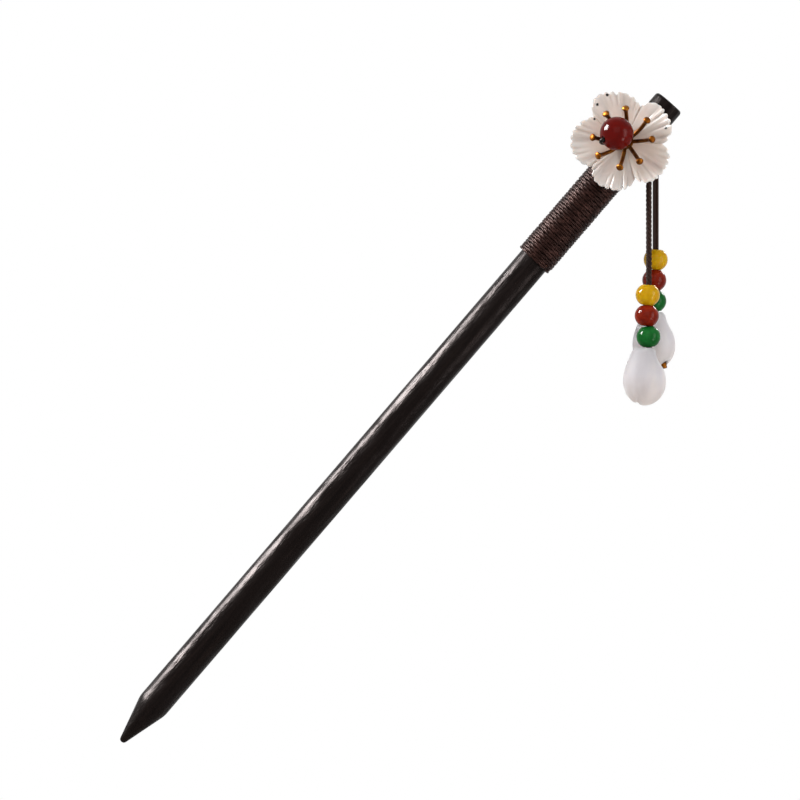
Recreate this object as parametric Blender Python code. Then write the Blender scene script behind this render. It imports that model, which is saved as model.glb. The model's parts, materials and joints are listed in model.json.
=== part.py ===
"""Decorative hair pin: a slanted wooden stick with a thread winding, a carved shell flower and two bead strands.

Metres, +Z up. The origin lies on the stick's axis, at the middle of the length that hair grips. The pin is
shown as it is worn: the stick slants up to the right, the flower looks towards -Y, and the strands hang down.
"""
import math

import bmesh
import bpy
import numpy as np
from mathutils import Matrix, Vector

# Stick
STICK_LENGTH = 0.1801
STICK_DIAMETER = 0.00686
TIP_RADIUS = 0.0008
TAPER_HALF_ANGLE = math.radians(15.5)
BUTT_ROUNDING = 0.0007
GRIP_FROM_TIP = 0.0726
SLANT = math.radians(49.4)
ROLL = math.radians(15)
STICK_SIDES = 32

# Clearances
SEAT_GAP = 0.0003
WRAP_GAP = 0.0001
THREADED_GAP = 0.00025
FLEX_GAP = 0.0007

# Thread winding under the flower
WINDING_CLEAR = 0.0007
WINDING_TURNS = 24
WINDING_PITCH = 0.0012
THREAD_DIAMETER = 0.0006
POINTS_PER_TURN = 24

# Carved shell flower
FLOWER_FROM_BUTT = 0.0127
FLOWER_RADIUS = 0.011
FLOWER_NOTCH_DEPTH = 0.0027
FLOWER_MIDDLE_THICKNESS = 0.00165
FLOWER_EDGE_THICKNESS = 0.0008
FLOWER_CUP = 0.0015
PETAL_ANGLES = [math.radians(a) for a in (2.4, 72.1, 144.1, 217.5, 293.1)]
PETAL_REACHES = (0.982, 0.99, 1.018, 1.08, 0.995)
PETAL_STEP = 0.0003
PETAL_TEETH = 9
TOOTH_DEPTH = 0.0004
FLUTE_DEPTH = 0.00018
FLOWER_RINGS = 5

# Brass stamens
STAMEN_COUNT = 8
STAMEN_DIAMETER = 0.00068
STAMEN_HEAD_DIAMETER = 0.00125
STAMEN_HEAD_LENGTH = 0.0013
STAMEN_REACH = 0.00633
STAMEN_RISE = 0.0038
STAMEN_FIRST_ANGLE = math.radians(33.9)
HUB_DIAMETER = 0.0034
HUB_THICKNESS = 0.0005

# Centre bead and the wire that ties it and the flower to the stick
CENTER_BEAD_DIAMETER = 0.007
CENTER_BEAD_LIFT = 0.0005
CENTER_BEAD_LEAN = (-0.00135, 0.00036)
DRILL_ANGLE = math.radians(252.6)
WIRE_DIAMETER = 0.0004
WIRE_LEG_SPACING = 0.0009
WIRE_LEG_ANGLE = math.radians(232)
WIRE_TAB_LENGTH = 0.0021

# Strands: one cord through the butt of the stick, with an end hanging on each side
CORD_DIAMETER = 0.0011
CORD_HOLE_DIAMETER = 0.002
CORD_HOLE_PAST_FLOWER = 0.007
MOUTH_DROP = 0.0016
BEND_BELOW_HOLE = 0.0145
FRONT_STRAND_LENGTH = 0.0482
BACK_STRAND_LENGTH = 0.0405

# Strung beads and drops
BEAD_COLOURS = ("green", "red", "yellow")
BEAD_DIAMETER = 0.0051
BEAD_FULL_HEIGHT = 0.0049
BEAD_FLAT_RADIUS = 0.00136
BEAD_SIDES = 16
DROP_DIAMETER = 0.0092
DROP_TOP_DIAMETER = 0.0047
DROP_SHOULDER = 0.0072
DROP_BELLY = 0.0051
DROP_TAPER_POWER = 1.06
DROP_SIDES = 20
DROP_DRILL_LEAN = math.radians(13)
FRONT_DROP_TURN = math.radians(100)
BACK_DROP_TURN = math.radians(-32)
CRIMP_DIAMETER = 0.0014
CRIMP_LENGTH = 0.0012
CRIMP_SUNK = 0.0005

STICK_RADIUS = STICK_DIAMETER / 2
CORD_RADIUS = CORD_DIAMETER / 2
WIRE_RADIUS = WIRE_DIAMETER / 2
FLOWER_FROM_TIP = STICK_LENGTH - FLOWER_FROM_BUTT
CORD_HOLE_FROM_TIP = FLOWER_FROM_TIP + CORD_HOLE_PAST_FLOWER
WINDING_LENGTH = WINDING_TURNS * WINDING_PITCH + THREAD_DIAMETER
WINDING_FROM_TIP = FLOWER_FROM_TIP - WIRE_TAB_LENGTH - WINDING_CLEAR - WINDING_LENGTH
WINDING_RADIUS = STICK_RADIUS + WRAP_GAP + THREAD_DIAMETER / 2
FLOWER_BACK = WINDING_RADIUS + THREAD_DIAMETER / 2 + SEAT_GAP
FLOWER_FRONT = FLOWER_BACK + FLOWER_MIDDLE_THICKNESS
HUB_TOP = FLOWER_FRONT + SEAT_GAP + HUB_THICKNESS
TIE_HOLE_RADIUS = WIRE_LEG_SPACING / 2 + WIRE_RADIUS + SEAT_GAP
CENTER_BEAD_HEIGHT = HUB_TOP + CENTER_BEAD_LIFT + CENTER_BEAD_DIAMETER / 2
BEAD_HEIGHT = BEAD_FULL_HEIGHT * math.sqrt(1 - (2 * BEAD_FLAT_RADIUS / BEAD_DIAMETER) ** 2)
BORE_RADIUS = CORD_RADIUS + THREADED_GAP


def clear_scene():
    for obj in list(bpy.data.objects):
        bpy.data.objects.remove(obj, do_unlink=True)


def material(name, colour, roughness, metallic=0.0):
    """A plain Principled finish."""
    finish = bpy.data.materials.new(name)
    finish.use_nodes = True
    shader = finish.node_tree.nodes["Principled BSDF"]
    shader.inputs["Base Color"].default_value = (*colour, 1)
    shader.inputs["Roughness"].default_value = roughness
    shader.inputs["Metallic"].default_value = metallic
    return finish


def place(obj, parent=None, location=(0, 0, 0), finish=None):
    """Put an object in the scene, under its parent."""
    bpy.context.scene.collection.objects.link(obj)
    obj.parent = parent
    obj.location = location
    if finish:
        obj.data.materials.append(finish)
    return obj


def empty(name, parent=None, location=(0, 0, 0)):
    return place(bpy.data.objects.new(name, None), parent, location)


def mesh_object(name, bm, smooth_angle=35):
    """A mesh object from a bmesh, with outward faces and smooth shading."""
    bmesh.ops.remove_doubles(bm, verts=bm.verts, dist=1e-7)
    bmesh.ops.recalc_face_normals(bm, faces=bm.faces)
    mesh = bpy.data.meshes.new(name)
    bm.to_mesh(mesh)
    bm.free()
    mesh.shade_smooth()
    mesh.set_sharp_from_angle(angle=math.radians(smooth_angle))
    return bpy.data.objects.new(name, mesh)


def turned(name, profile, sides, closed):
    """A body turned about Z from (radius, height) points."""
    bm = bmesh.new()
    ring = [bm.verts.new((r, 0, z)) for r, z in profile]
    pairs = list(zip(ring, ring[1:])) + ([(ring[-1], ring[0])] if closed else [])
    edges = [bm.edges.new(pair) for pair in pairs]
    bmesh.ops.spin(bm, geom=ring + edges, cent=(0, 0, 0), axis=(0, 0, 1), angle=2 * math.pi,
                   steps=sides, use_merge=True)
    return mesh_object(name, bm)


def arc(centre, radius_r, radius_z, start, end, steps):
    """Points of an ellipse's arc in (radius, height), angles from the outward direction."""
    angles = [start + (end - start) * i / steps for i in range(steps + 1)]
    return [(centre[0] + radius_r * math.cos(a), centre[1] + radius_z * math.sin(a)) for a in angles]


def smooth_path(points, steps):
    """A smooth curve through the given points."""
    points = [Vector(p) for p in points]
    padded = [2 * points[0] - points[1]] + points + [2 * points[-1] - points[-2]]
    path = []
    for a, b, c, d in zip(padded, padded[1:], padded[2:], padded[3:]):
        for i in range(steps):
            t = i / steps
            path.append(0.5 * (2 * b + (c - a) * t + (2 * a - 5 * b + 4 * c - d) * t * t
                               + (3 * b - a - 3 * c + d) * t ** 3))
    return path + [points[-1]]


def tube(name, points, radius, resolution):
    """A round tube along points, with filled ends."""
    curve = bpy.data.curves.new(name, "CURVE")
    curve.dimensions = "3D"
    curve.bevel_depth = radius
    curve.bevel_resolution = resolution
    curve.use_fill_caps = True
    spline = curve.splines.new("POLY")
    spline.points.add(len(points) - 1)
    for target, point in zip(spline.points, points):
        target.co = (*point, 1)
    return bpy.data.objects.new(name, curve)


def rod(name, start, end, radius, sides=16):
    """A straight round bar between two points, for drilling."""
    start, end = Vector(start), Vector(end)
    bm = bmesh.new()
    bmesh.ops.create_cone(bm, cap_ends=True, segments=sides, radius1=radius, radius2=radius,
                          depth=(end - start).length)
    turn = Vector((0, 0, 1)).rotation_difference(end - start).to_matrix().to_4x4()
    bmesh.ops.transform(bm, matrix=Matrix.Translation((start + end) / 2) @ turn, verts=bm.verts)
    return mesh_object(name, bm)


def combine(target, tool, operation):
    """Cut a tool out of a body, or join it to the body, and keep the tool as a guide."""
    tool.hide_render = True
    tool.display_type = "WIRE"
    step = target.modifiers.new(tool.name, "BOOLEAN")
    step.object = tool
    step.operation = operation
    step.solver = "EXACT"


def pin_point(across, height, along_from_tip):
    """A point in the pin's own frame: across the stick, out towards the flower's face, and along it."""
    return Vector((across, -height, along_from_tip - GRIP_FROM_TIP))


def make_stick(frame, finish):
    sin_taper, cos_taper = math.sin(TAPER_HALF_ANGLE), math.cos(TAPER_HALF_ANGLE)
    tip = arc((0, TIP_RADIUS), TIP_RADIUS, TIP_RADIUS, -math.pi / 2, -TAPER_HALF_ANGLE, 4)
    shoulder = tip[-1][1] + (STICK_RADIUS - TIP_RADIUS * cos_taper) * cos_taper / sin_taper
    butt = arc((STICK_RADIUS - BUTT_ROUNDING, STICK_LENGTH - BUTT_ROUNDING), BUTT_ROUNDING, BUTT_ROUNDING,
               0, math.pi / 2, 3)
    profile = tip + [(STICK_RADIUS, shoulder)] + butt + [(0, STICK_LENGTH)]
    profile[0] = (0, 0)
    stick = place(turned("stick", profile, STICK_SIDES, False), frame, pin_point(0, 0, 0), finish)
    reach = STICK_DIAMETER
    for name, along, radius in (("cord_hole", CORD_HOLE_FROM_TIP, CORD_HOLE_DIAMETER / 2),
                                ("tie_hole", FLOWER_FROM_TIP, TIE_HOLE_RADIUS)):
        drill = rod(name, pin_point(0, -reach, along), pin_point(0, reach, along), radius)
        combine(stick, place(drill, frame), "DIFFERENCE")


def make_winding(frame, finish):
    """One unbroken thread in even turns, with the least gap between turns measured and printed."""
    count = WINDING_TURNS * POINTS_PER_TURN
    points = []
    for i in range(count + 1):
        angle = 2 * math.pi * i / POINTS_PER_TURN
        along = WINDING_FROM_TIP + THREAD_DIAMETER / 2 + WINDING_PITCH * i / POINTS_PER_TURN
        points.append(pin_point(WINDING_RADIUS * math.cos(angle), WINDING_RADIUS * math.sin(angle), along))
    spots = np.array(points)
    half_turn = POINTS_PER_TURN // 2
    least = min(np.linalg.norm(spots[i + half_turn:] - spots[i], axis=1).min() for i in range(count - half_turn))
    print(f"winding: least gap to itself {1000 * (least - THREAD_DIAMETER):.2f} mm")
    place(tube("thread_winding", points, THREAD_DIAMETER / 2, 1), frame, finish=finish)


def petal_columns():
    """Angle, place across its petal from -1 to 1, reach, and tooth valley or not, for each column round the flower."""
    count = len(PETAL_ANGLES)
    middles = [a + 2 * math.pi * (i // count) for i, a in enumerate(PETAL_ANGLES + PETAL_ANGLES[:1])]
    borders = [(a + b) / 2 for a, b in zip(middles, middles[1:])]
    borders = [borders[-1] - 2 * math.pi] + borders
    columns = []
    for start, end, reach in zip(borders, borders[1:], PETAL_REACHES):
        for k in range(2 * PETAL_TEETH):
            share = (k + 0.5) / (2 * PETAL_TEETH)
            columns.append((start + (end - start) * share, 2 * share - 1, reach * FLOWER_RADIUS, k % 2 == 0))
    return columns


def make_flower(frame, finish):
    """Five fluted fan petals with toothed rims, each stepping over the next, carved from one shell."""
    hole = TIE_HOLE_RADIUS
    columns = petal_columns()
    bm = bmesh.new()

    def surface_point(angle, radius, height):
        return bm.verts.new(pin_point(radius * math.cos(angle), height,
                                      FLOWER_FROM_TIP + radius * math.sin(angle)))

    strips = []
    for angle, across, reach, valley in columns:
        rim = reach - FLOWER_NOTCH_DEPTH * abs(across) ** 3 - (TOOTH_DEPTH if valley else 0)
        front, back = [], []
        for k in range(FLOWER_RINGS + 1):
            share = k / FLOWER_RINGS
            radius = hole + (rim - hole) * share
            outward = (radius - hole) / (FLOWER_RADIUS - hole)
            base = FLOWER_BACK + FLOWER_CUP * outward ** 2
            thickness = FLOWER_MIDDLE_THICKNESS + (FLOWER_EDGE_THICKNESS - FLOWER_MIDDLE_THICKNESS) * outward
            step = PETAL_STEP * outward * -across
            flute = FLUTE_DEPTH * min(1, 2 * outward) if valley else 0
            front.append(surface_point(angle, radius, base + thickness + step - flute))
            if k in (0, FLOWER_RINGS // 2, FLOWER_RINGS):
                back.append(surface_point(angle, radius, base + max(step, 0)))
        strips.append(front + back[::-1])
    for one, two in zip(strips, strips[1:] + strips[:1]):
        for k in range(len(one)):
            last = (k + 1) % len(one)
            bm.faces.new((one[k], one[last], two[last], two[k]))
    place(mesh_object("shell_flower", bm, 60), frame, finish=finish)


def make_stamens(frame, finish):
    """A brass ring with filaments that curve up round the bead and end in flared heads."""
    outer, inner = HUB_DIAMETER / 2, TIE_HOLE_RADIUS
    middle = (outer + inner) / 2
    bottom = HUB_TOP - HUB_THICKNESS
    profile = [(inner, 0), (outer, 0), (outer, HUB_THICKNESS), (inner, HUB_THICKNESS)]
    hub = turned("stamen_spray", profile, 24, True)
    hub.data.transform(Matrix.Rotation(math.pi / 2, 4, "X"))
    place(hub, frame, pin_point(0, bottom, FLOWER_FROM_TIP), finish)
    spray = bmesh.new()
    for i in range(STAMEN_COUNT):
        angle = STAMEN_FIRST_ANGLE + 2 * math.pi * i / STAMEN_COUNT
        heading = Vector((math.cos(angle), 0, math.sin(angle)))
        out = Vector((0, -1, 0))
        low = out * (HUB_THICKNESS / 2)
        route = smooth_path([heading * middle + low,
                             heading * (STAMEN_REACH * 0.62) + low + out * (STAMEN_RISE * 0.22),
                             heading * STAMEN_REACH + low + out * STAMEN_RISE], 4)
        lengths = [(route[-1] - p).length for p in route]
        head = STAMEN_HEAD_LENGTH
        radii = [STAMEN_DIAMETER / 2 if far > head else STAMEN_HEAD_DIAMETER / 2 for far in lengths]
        add_filament(spray, route, radii)
    filaments = place(mesh_object("stamen_filaments", spray), frame, hub.location)
    combine(hub, filaments, "UNION")


def add_filament(bm, route, radii, sides=8):
    """A round rod along a route with its own radius at each point."""
    rings = []
    for i, (point, radius) in enumerate(zip(route, radii)):
        ahead = route[min(i + 1, len(route) - 1)] - route[max(i - 1, 0)]
        side = ahead.cross(Vector((0, -1, 0))).normalized()
        up = side.cross(ahead).normalized()
        turns = [2 * math.pi * k / sides for k in range(sides)]
        rings.append([bm.verts.new(point + radius * (side * math.cos(a) + up * math.sin(a))) for a in turns])
    for one, two in zip(rings, rings[1:]):
        bmesh.ops.bridge_loops(bm, edges=[edge for ring in (one, two) for edge in closed_edges(bm, ring)])
    bm.faces.new(rings[0])
    bm.faces.new(rings[-1])


def closed_edges(bm, ring):
    """The edges round a ring of vertices, made where they are missing."""
    pairs = zip(ring, ring[1:] + ring[:1])
    return [bm.edges.get(pair) or bm.edges.new(pair) for pair in pairs]


def bead_centre():
    across, along = CENTER_BEAD_LEAN
    return pin_point(across, CENTER_BEAD_HEIGHT, FLOWER_FROM_TIP + along)


def drill_direction():
    return Vector((math.cos(DRILL_ANGLE), 0, math.sin(DRILL_ANGLE)))


def make_center_bead(frame, finish):
    bm = bmesh.new()
    bmesh.ops.create_uvsphere(bm, u_segments=24, v_segments=14, radius=CENTER_BEAD_DIAMETER / 2)
    bead = place(mesh_object("center_bead", bm), frame, bead_centre(), finish)
    reach = drill_direction() * CENTER_BEAD_DIAMETER
    drill = rod("bead_drill", bead_centre() - reach, bead_centre() + reach, WIRE_RADIUS + THREADED_GAP, 12)
    combine(bead, place(drill, frame), "DIFFERENCE")


def make_tie_wire(frame, finish):
    """A wire through the bead, round both its sides and down through flower and stick, with ends bent over."""
    centre = bead_centre()
    hug = CENTER_BEAD_DIAMETER / 2 + WIRE_RADIUS + THREADED_GAP
    leg_heading = Vector((math.cos(WIRE_LEG_ANGLE), 0, math.sin(WIRE_LEG_ANGLE)))
    middle = pin_point(0, 0, FLOWER_FROM_TIP)
    tab_depth = STICK_RADIUS + WIRE_RADIUS + SEAT_GAP
    halves = []
    for side in (1, -1):
        mouth = drill_direction() * side
        leg = middle + leg_heading * (side * WIRE_LEG_SPACING / 2)
        offset = Vector((leg.x - centre.x, 0, leg.z - centre.z))
        offset.y = math.sqrt(hug ** 2 - offset.length_squared)
        turn = offset.rotation_difference(mouth)
        along = Vector((0, 0, -side))
        tab = Vector((leg.x, tab_depth, leg.z))
        half = [tab + along * WIRE_TAB_LENGTH, tab + along * (WIRE_TAB_LENGTH / 2), tab + along * TIE_HOLE_RADIUS / 2,
                leg + Vector((0, STICK_RADIUS - WIRE_RADIUS, 0)), leg,
                leg - Vector((0, FLOWER_BACK, 0)), leg - Vector((0, FLOWER_FRONT, 0))]
        for share in (0.0, 0.2, 0.4, 0.6, 0.8, 0.94):
            partial = Matrix.Rotation(turn.angle * share, 3, turn.axis)
            half.append(centre + partial @ offset)
        half += [centre + mouth * (hug - WIRE_RADIUS / 2), centre + mouth * (hug - 3 * WIRE_RADIUS),
                 centre + mouth * (CENTER_BEAD_DIAMETER / 4)]
        halves.append(half)
    route = halves[0] + [centre] + halves[1][::-1]
    place(tube("tie_wire", smooth_path(route, 3), WIRE_RADIUS, 1), frame, finish=finish)


def world_point(frame, point):
    return frame.matrix_world @ point


def make_bridge(frame, finish):
    """The cord where it crosses the stick, turning down at both mouths; returns where its two ends point down."""
    hole = world_point(frame, pin_point(0, 0, CORD_HOLE_FROM_TIP))
    outward = frame.matrix_world.to_3x3() @ Vector((0, -1, 0))
    clear = STICK_RADIUS + SEAT_GAP + CORD_RADIUS
    ends = []
    route = []
    for side in (1, -1):
        down = Vector((0, 0, -MOUTH_DROP))
        half = [hole + outward * (side * clear * out) + down * fall
                for out, fall in ((1, 1), (0.946, 0.44), (0.77, 0.09), (0.51, 0))]
        ends.append(half[0])
        route += half if side == 1 else half[::-1]
    place(tube("cord_bridge", smooth_path(route, 3), CORD_RADIUS, 2), finish=finish)
    return hole, ends


def string_profile():
    """Half of a bored bead's section: its rounded side, its flats and its bore."""
    tilt = math.acos(2 * BEAD_FLAT_RADIUS / BEAD_DIAMETER)
    side = arc((0, 0), BEAD_DIAMETER / 2, BEAD_FULL_HEIGHT / 2, tilt, -tilt, 8)
    return side + [(BORE_RADIUS, -BEAD_HEIGHT / 2), (BORE_RADIUS, BEAD_HEIGHT / 2)]


def drop_profile():
    """Half of a pear-shaped drop's section from its flat top down to its rounded end."""
    top, widest = DROP_TOP_DIAMETER / 2, DROP_DIAMETER / 2
    shares = [i / 6 for i in range(7)]
    flank = [(top + (widest - top) * math.sin(math.pi / 2 * s ** DROP_TAPER_POWER), -DROP_SHOULDER * s)
             for s in shares]
    belly = arc((0, -DROP_SHOULDER), widest, DROP_BELLY, 0, -math.pi / 2, 7)
    belly[-1] = (0, -DROP_SHOULDER - DROP_BELLY)
    return [(0, 0)] + flank + belly[1:]


def drill_exit():
    """How far along its slanting drill hole the drop's rounded end lies."""
    across = math.sin(DROP_DRILL_LEAN) / (DROP_DIAMETER / 2)
    down = math.cos(DROP_DRILL_LEAN) / DROP_BELLY
    offset = DROP_SHOULDER / DROP_BELLY
    square = across ** 2 + down ** 2
    return (down * offset + math.sqrt((down * offset) ** 2 - square * (offset ** 2 - 1))) / square


def make_drop(prefix, bend, top, turn, shell, cord, brass):
    """A drop drilled a little askew, with the cord's tail through it and a crimp half sunk where it comes out."""
    frame = empty(f"{prefix}_drop_axis", bend, top)
    frame.rotation_euler.z = turn
    drop = place(turned(f"{prefix}_drop", drop_profile(), DROP_SIDES, False), frame, finish=shell)
    heading = Vector((math.sin(DROP_DRILL_LEAN), 0, -math.cos(DROP_DRILL_LEAN)))
    seat = drill_exit() - CRIMP_SUNK
    past = heading * (2 * drill_exit())
    drill = rod(f"{prefix}_drop_drill", heading * -DROP_SHOULDER, past, BORE_RADIUS, 12)
    combine(drop, place(drill, frame), "DIFFERENCE")
    recess = rod(f"{prefix}_crimp_recess", heading * (seat - SEAT_GAP), past, CRIMP_DIAMETER / 2 + THREADED_GAP, 12)
    combine(drop, place(recess, frame), "DIFFERENCE")
    tail = [heading * ((seat - SEAT_GAP) * s / 4) for s in range(5)]
    place(tube(f"{prefix}_drop_cord", tail, CORD_RADIUS, 2), frame, finish=cord)
    end = heading * (seat + CRIMP_LENGTH)
    place(rod(f"{prefix}_crimp", heading * seat, end, CRIMP_DIAMETER / 2), frame, finish=brass)


def make_strand(prefix, hole, mouth, length, turn, finishes):
    """One hanging end of the cord, with its beads and its drop."""
    swing = empty(f"{prefix}_swing", None, mouth + Vector((0, 0, -FLEX_GAP / 2)))
    bend_drop = swing.location.z - (hole.z - BEND_BELOW_HOLE)
    bend = empty(f"{prefix}_bend", swing, (0, 0, -bend_drop))
    upper = [Vector((0, 0, -FLEX_GAP / 2 - (bend_drop - FLEX_GAP) * s / 4)) for s in range(5)]
    place(tube(f"{prefix}_cord_upper", upper, CORD_RADIUS, 2), swing, finish=finishes["cord"])
    drop_top = -(length - BEND_BELOW_HOLE)
    lower_run = -drop_top - FLEX_GAP / 2 - SEAT_GAP
    lower = [Vector((0, 0, -FLEX_GAP / 2 - lower_run * s / 10)) for s in range(11)]
    place(tube(f"{prefix}_cord_lower", lower, CORD_RADIUS, 2), bend, finish=finishes["cord"])
    height = drop_top + SEAT_GAP + BEAD_HEIGHT / 2
    for colour in BEAD_COLOURS:
        bead = turned(f"{prefix}_bead_{colour}", string_profile(), BEAD_SIDES, True)
        place(bead, bend, (0, 0, height), finishes[colour])
        height += BEAD_HEIGHT + SEAT_GAP
    make_drop(prefix, bend, (0, 0, drop_top), turn, finishes["shell"], finishes["cord"], finishes["brass"])


def main():
    clear_scene()
    finishes = {
        "wood": material("dark_wood", (0.008, 0.006, 0.005), 0.25),
        "thread": material("brown_thread", (0.016, 0.010, 0.008), 0.5),
        "cord": material("black_cord", (0.006, 0.005, 0.005), 0.7),
        "shell": material("white_shell", (0.62, 0.58, 0.56), 0.25),
        "brass": material("antique_brass", (0.42, 0.20, 0.05), 0.3, 1.0),
        "center": material("dark_red_stone", (0.11, 0.004, 0.003), 0.12),
        "yellow": material("yellow_stone", (0.65, 0.38, 0.01), 0.12),
        "red": material("orange_red_stone", (0.30, 0.02, 0.008), 0.12),
        "green": material("green_stone", (0.01, 0.19, 0.03), 0.12),
    }
    frame = empty("pin_frame")
    frame.rotation_mode = "ZYX"
    frame.rotation_euler = (0, math.pi / 2 - SLANT, -ROLL)
    bpy.context.view_layer.update()
    make_stick(frame, finishes["wood"])
    make_winding(frame, finishes["thread"])
    make_flower(frame, finishes["shell"])
    make_stamens(frame, finishes["brass"])
    make_center_bead(frame, finishes["center"])
    make_tie_wire(frame, finishes["thread"])
    hole, ends = make_bridge(frame, finishes["cord"])
    make_strand("front", hole, ends[0], FRONT_STRAND_LENGTH, FRONT_DROP_TURN, finishes)
    make_strand("back", hole, ends[1], BACK_STRAND_LENGTH, BACK_DROP_TURN, finishes)


main()
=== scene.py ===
"""The looks of the decorative hair pin: polished dark stick, wound thread, carved shell flower, strung beads."""
import json
import math

import bmesh
import bpy
from mathutils import Matrix, Vector, noise


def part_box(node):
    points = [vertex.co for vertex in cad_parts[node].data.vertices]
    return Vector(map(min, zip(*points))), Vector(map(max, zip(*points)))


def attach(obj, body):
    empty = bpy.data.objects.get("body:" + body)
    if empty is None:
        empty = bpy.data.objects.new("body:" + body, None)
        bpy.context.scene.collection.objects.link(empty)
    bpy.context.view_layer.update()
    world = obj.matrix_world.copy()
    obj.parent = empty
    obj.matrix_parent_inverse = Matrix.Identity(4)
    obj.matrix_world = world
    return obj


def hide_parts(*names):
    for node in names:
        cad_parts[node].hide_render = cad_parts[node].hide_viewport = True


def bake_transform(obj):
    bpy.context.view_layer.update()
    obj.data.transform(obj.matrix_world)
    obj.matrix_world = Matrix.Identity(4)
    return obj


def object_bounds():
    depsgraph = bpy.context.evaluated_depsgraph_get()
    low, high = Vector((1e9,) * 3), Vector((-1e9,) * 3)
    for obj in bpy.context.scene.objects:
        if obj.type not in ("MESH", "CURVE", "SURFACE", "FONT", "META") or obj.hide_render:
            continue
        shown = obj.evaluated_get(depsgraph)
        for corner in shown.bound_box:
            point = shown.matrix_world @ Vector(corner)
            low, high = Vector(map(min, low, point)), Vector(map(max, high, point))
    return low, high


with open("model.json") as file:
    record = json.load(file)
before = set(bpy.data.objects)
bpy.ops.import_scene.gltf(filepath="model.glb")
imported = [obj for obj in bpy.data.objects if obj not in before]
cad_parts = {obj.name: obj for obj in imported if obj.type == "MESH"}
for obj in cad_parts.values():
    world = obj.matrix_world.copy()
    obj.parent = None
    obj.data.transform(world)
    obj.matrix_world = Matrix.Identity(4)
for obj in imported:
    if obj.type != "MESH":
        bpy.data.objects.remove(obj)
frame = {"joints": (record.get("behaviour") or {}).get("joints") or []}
cad_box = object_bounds()

# The photograph's frame: 800 pixels square, seen straight on
IMAGE_SIDE = 800
PIXEL = 0.0002138
GRIP_PIXEL = (342.4, 484.0)
CAMERA_DISTANCE = 2.0
CAMERA_REACH = 50
SENSOR = 36.0

# Light and floor; a lamp has its place, width, height and power, and lights surfaces or only gleams on them
AMBIENT = 0.36
LAMP_AIM = Vector((0.045, 0, 0.045))
LAMPS = {
    "key": ((-0.61, -0.16, 0.48), 0.2, 0.26, 4.3, True),
    "gleam": ((-0.61, 0.0, 0.48), 0.32, 0.34, 45, False),
    "side": ((0.62, -0.33, 0.10), 0.3, 0.5, 1.9, True),
    "side_gleam": ((0.62, -0.33, 0.10), 0.3, 0.5, 5.5, False),
    "low_gleam": ((0.24, -0.15, -0.09), 0.08, 0.08, 0.22, False),
    "front": ((0.05, -1.1, 0.6), 0.9, 0.9, 3.0, True),
    "rim": ((0.48, 0.72, 0.42), 0.16, 0.16, 1.8, True),
}
FLOOR_HALF = 0.3
FLOOR_DROP = 0.05
FLOOR_FADE = (0.55, 0.95)

# Meshes
MERGE_DISTANCE = 1e-7
SHARP_ANGLE = 40

# The pin's own frame, as in the solids
SLANT = math.radians(49.4)
ROLL = math.radians(15)
GRIP_FROM_TIP = 0.0726
PIN = Matrix.Rotation(math.pi / 2 - SLANT, 4, "Y") @ Matrix.Rotation(-ROLL, 4, "Z")

# Stick
STICK_LENGTH = 0.1801
STICK_RADIUS = 0.00343
TIP_RADIUS = 0.0008
TAPER = math.radians(15.5)
BUTT_ROUNDING = 0.0007
SHOULDER_SOFT = 0.0006
SHOULDER_EASE = (0.09, 0.1)
CORD_HOLE_RADIUS = 0.001
CORD_HOLE_FROM_TIP = 0.1744
TIE_HOLE_RADIUS = 0.00095
STICK_SIDES = 96

# Winding: two threads side by side, each of two plies
WINDING_FROM_TIP = 0.1352
WINDING_TURNS = 24
WINDING_PITCH = 0.0012
THREAD_RADIUS = 0.0003
PLY_RADIUS = 0.00024
PLY_TWIST = 0.003851
PLY_STAND_OFF = 0.00004
PLY_SPREAD = THREAD_RADIUS - PLY_RADIUS + PLY_STAND_OFF
PLY_HEIGHT, PLY_WIDTH = 0.75, 1.25
PAIR_SPACING = 0.00054
THREAD_WANDER = 0.00009
THREAD_LIFT = 0.00004
WINDING_SEAT = 0.00022
WINDING_RADIUS = STICK_RADIUS + WINDING_SEAT + THREAD_RADIUS
POINTS_PER_TURN = 130

# Flower
FLOWER_FROM_TIP = 0.1674
FLOWER_RADIUS = 0.011
NOTCH_DEPTH = 0.0027
FLOWER_BACK = 0.00443
FLOWER_MIDDLE = 0.00165
FLOWER_EDGE = 0.0007
FLOWER_CUP = 0.0015
PETAL_ANGLES = [math.radians(a) for a in (2.4, 72.1, 144.1, 217.5, 293.1)]
PETAL_STEP = 0.0003
PETAL_LENGTHS = (0.0109, 0.0109, 0.01125, 0.0115, 0.0106)
PETAL_SHOULDERS = (3.4, 3.2, 3.2, 2.0, 3.2)
PETAL_SKEWS = (0, 0, 0.0006, 0, 0)
# Each petal's tone is partly the shell's own variation and partly painted shade; the last petal is painted much
# darker.
PETAL_TONES_AND_SHADE = (1.1, 0.95, 0.93, 0.98, 0.8)
PETAL_ARCH, ARCH_POWER = 0.0005, 2.2
PETAL_WAVE = 0.0006
RIM_WANDER = 0.00018
RIM_BULGE = 0.00013
CREASE_DEPTH, CREASE_FROM, CREASE_SPAN = 0.0004, 0.9, 0.1
FLOWER_ASIDE = (-0.00025, -0.00036)

# Carving of the petals: fine flutes that end in teeth, and wider folds; REACH is along the petal
CARVING_DRIFT = 0.4
PETAL_TEETH = 9.5
TOOTH_DEPTH, TOOTH_SHARPNESS = 0.00055, 1.6
TOOTH_LEAST, TOOTH_VARIETY = 0.75, 0.6
FLUTE_DEPTH, FLUTE_REACH = 0.00017, (0.6, 0.9)
PETAL_FOLDS = 5
PETAL_FOLD_DEPTH, PETAL_FOLD_REACH, PETAL_FOLD_SHARPNESS = 0.00018, (0.2, 0.6), 2
PETAL_FOLD_LEAST, PETAL_FOLD_VARIETY = 0.5, 0.8
# Painted highlight and shade: carved ridges are painted lighter and grooves painted darker, by how deep they are
# carved.
RIDGE_PAINTED_LIGHT, GROOVE_PAINTED_SHADE, GROOVE_FULL_SHADE_DEPTH = 1.05, 0.2, 0.0003

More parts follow.
